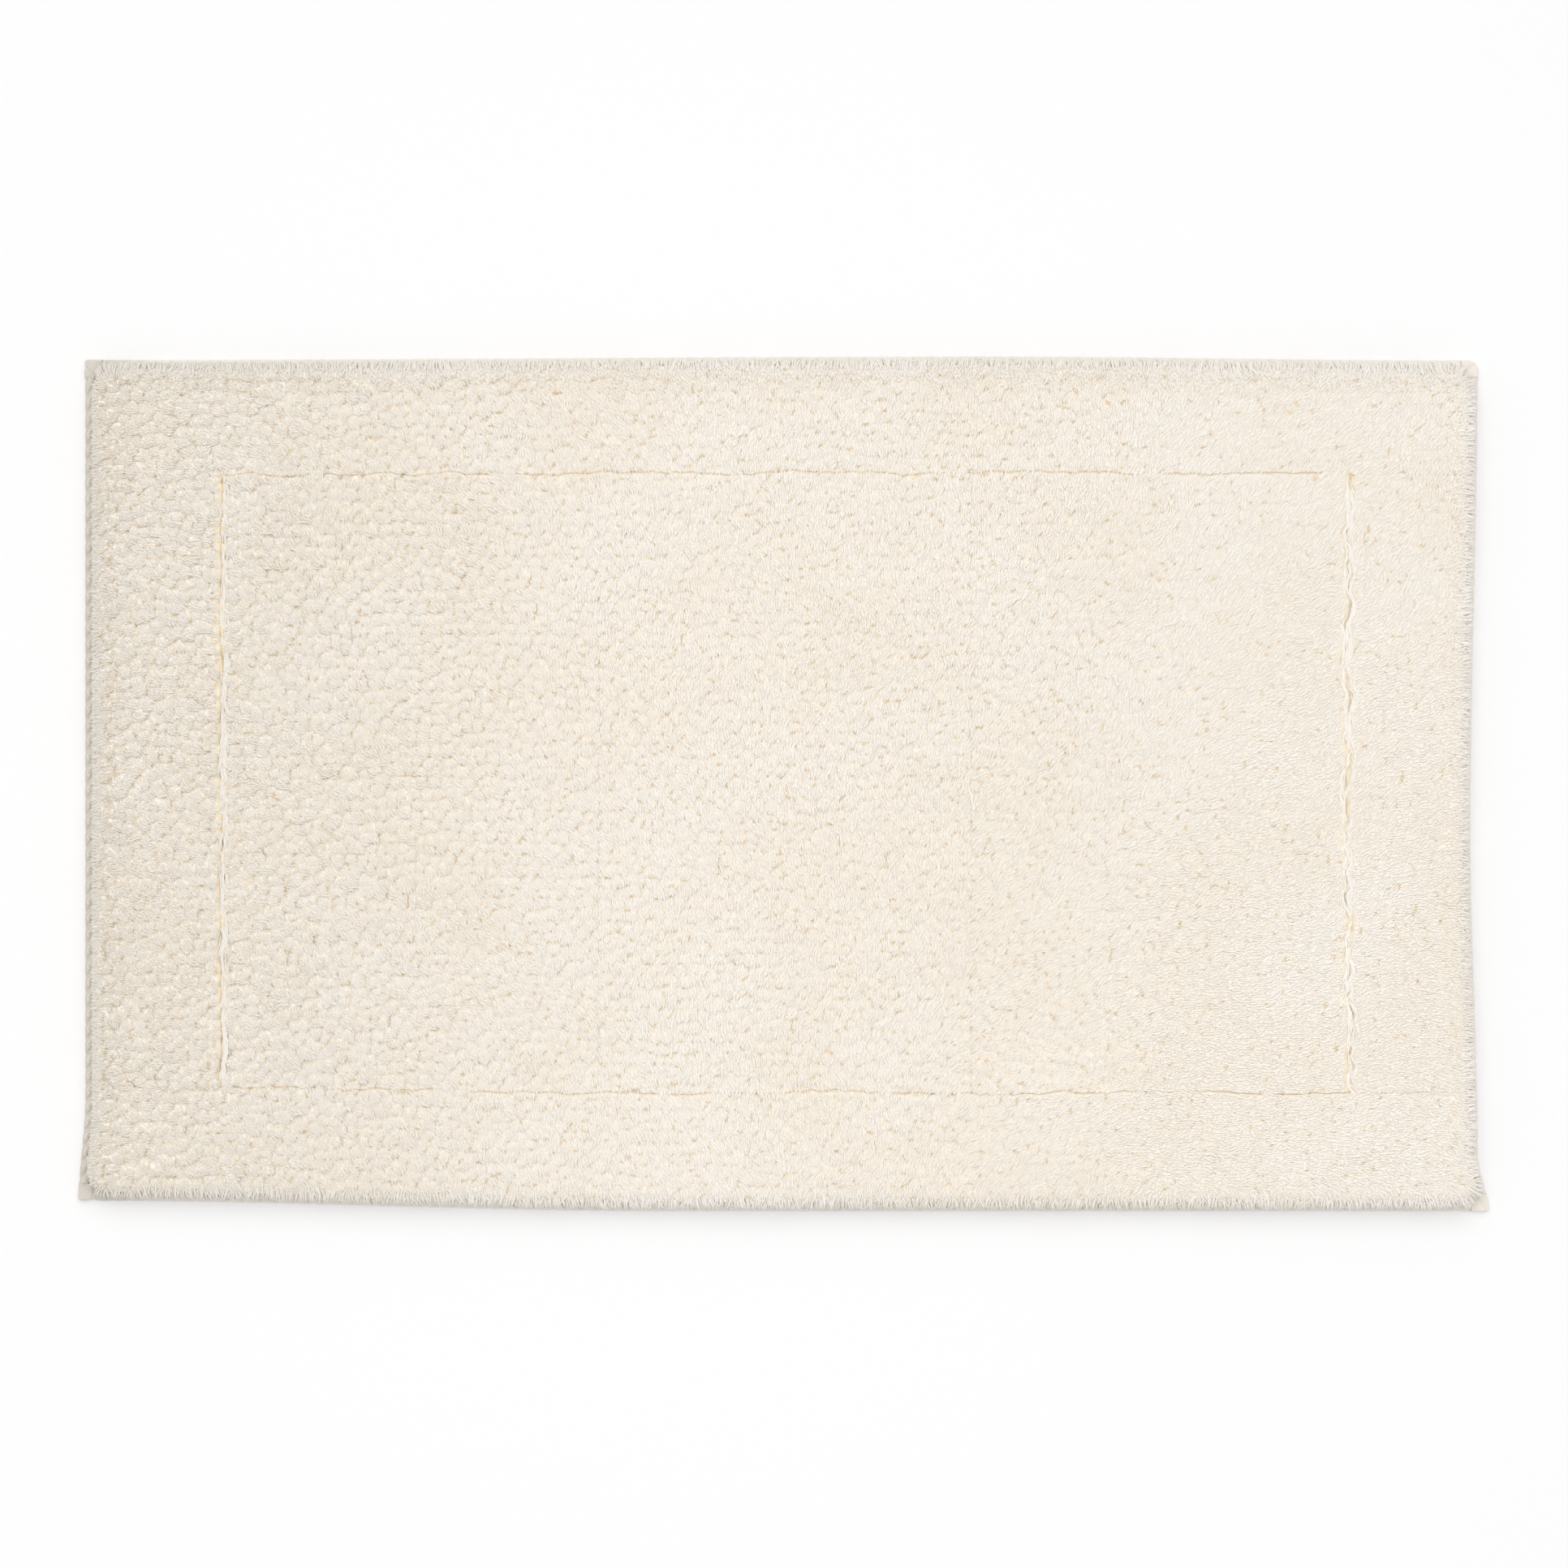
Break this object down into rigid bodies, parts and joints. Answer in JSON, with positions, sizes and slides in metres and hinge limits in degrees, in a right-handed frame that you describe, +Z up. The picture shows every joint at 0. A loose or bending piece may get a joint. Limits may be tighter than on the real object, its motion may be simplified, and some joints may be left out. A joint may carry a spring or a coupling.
{
  "type": "bath mat",
  "caption": "Rectangular tufted cotton bath mat with deep cut pile, a parted groove that sets off a border, and a folded, stitched hem.",
  "frame": {"origin": "on the floor below the middle of the mat", "axes": "+X along the length, +Y across to the back edge, +Z up out of the pile"},
  "size_m": [0.99, 0.606, 0.0218],
  "materials": {
    "pile": "soft matt cut cotton yarn, cream tips and warm tan in the depths",
    "ground_cloth": "plain woven unbleached cotton",
    "hem_tape": "folded cotton tape, matt",
    "thread": "twisted cotton sewing thread",
    "latex": "dried latex coat, pale and slightly uneven"
  },
  "bodies": {
    "root": {"centre_pile": "pile", "border_pile_front": "pile", "border_pile_back": "pile", "border_pile_left": "pile", "border_pile_right": "pile", "ground_cloth": "ground_cloth", "tuft_lock_latex": "latex", "hem_tape_front": "hem_tape", "hem_tape_back": "hem_tape", "hem_tape_left": "hem_tape", "hem_tape_right": "hem_tape", "corner_tuck_front_left": "hem_tape", "corner_tuck_front_right": "hem_tape", "corner_tuck_back_left": "hem_tape", "corner_tuck_back_right": "hem_tape", "hem_thread_front": "thread", "hem_thread_back": "thread", "hem_thread_left": "thread", "hem_thread_right": "thread", "tuck_thread_front_left": "thread", "tuck_thread_front_right": "thread", "tuck_thread_back_left": "thread", "tuck_thread_back_right": "thread"}
  },
  "joints": []
}
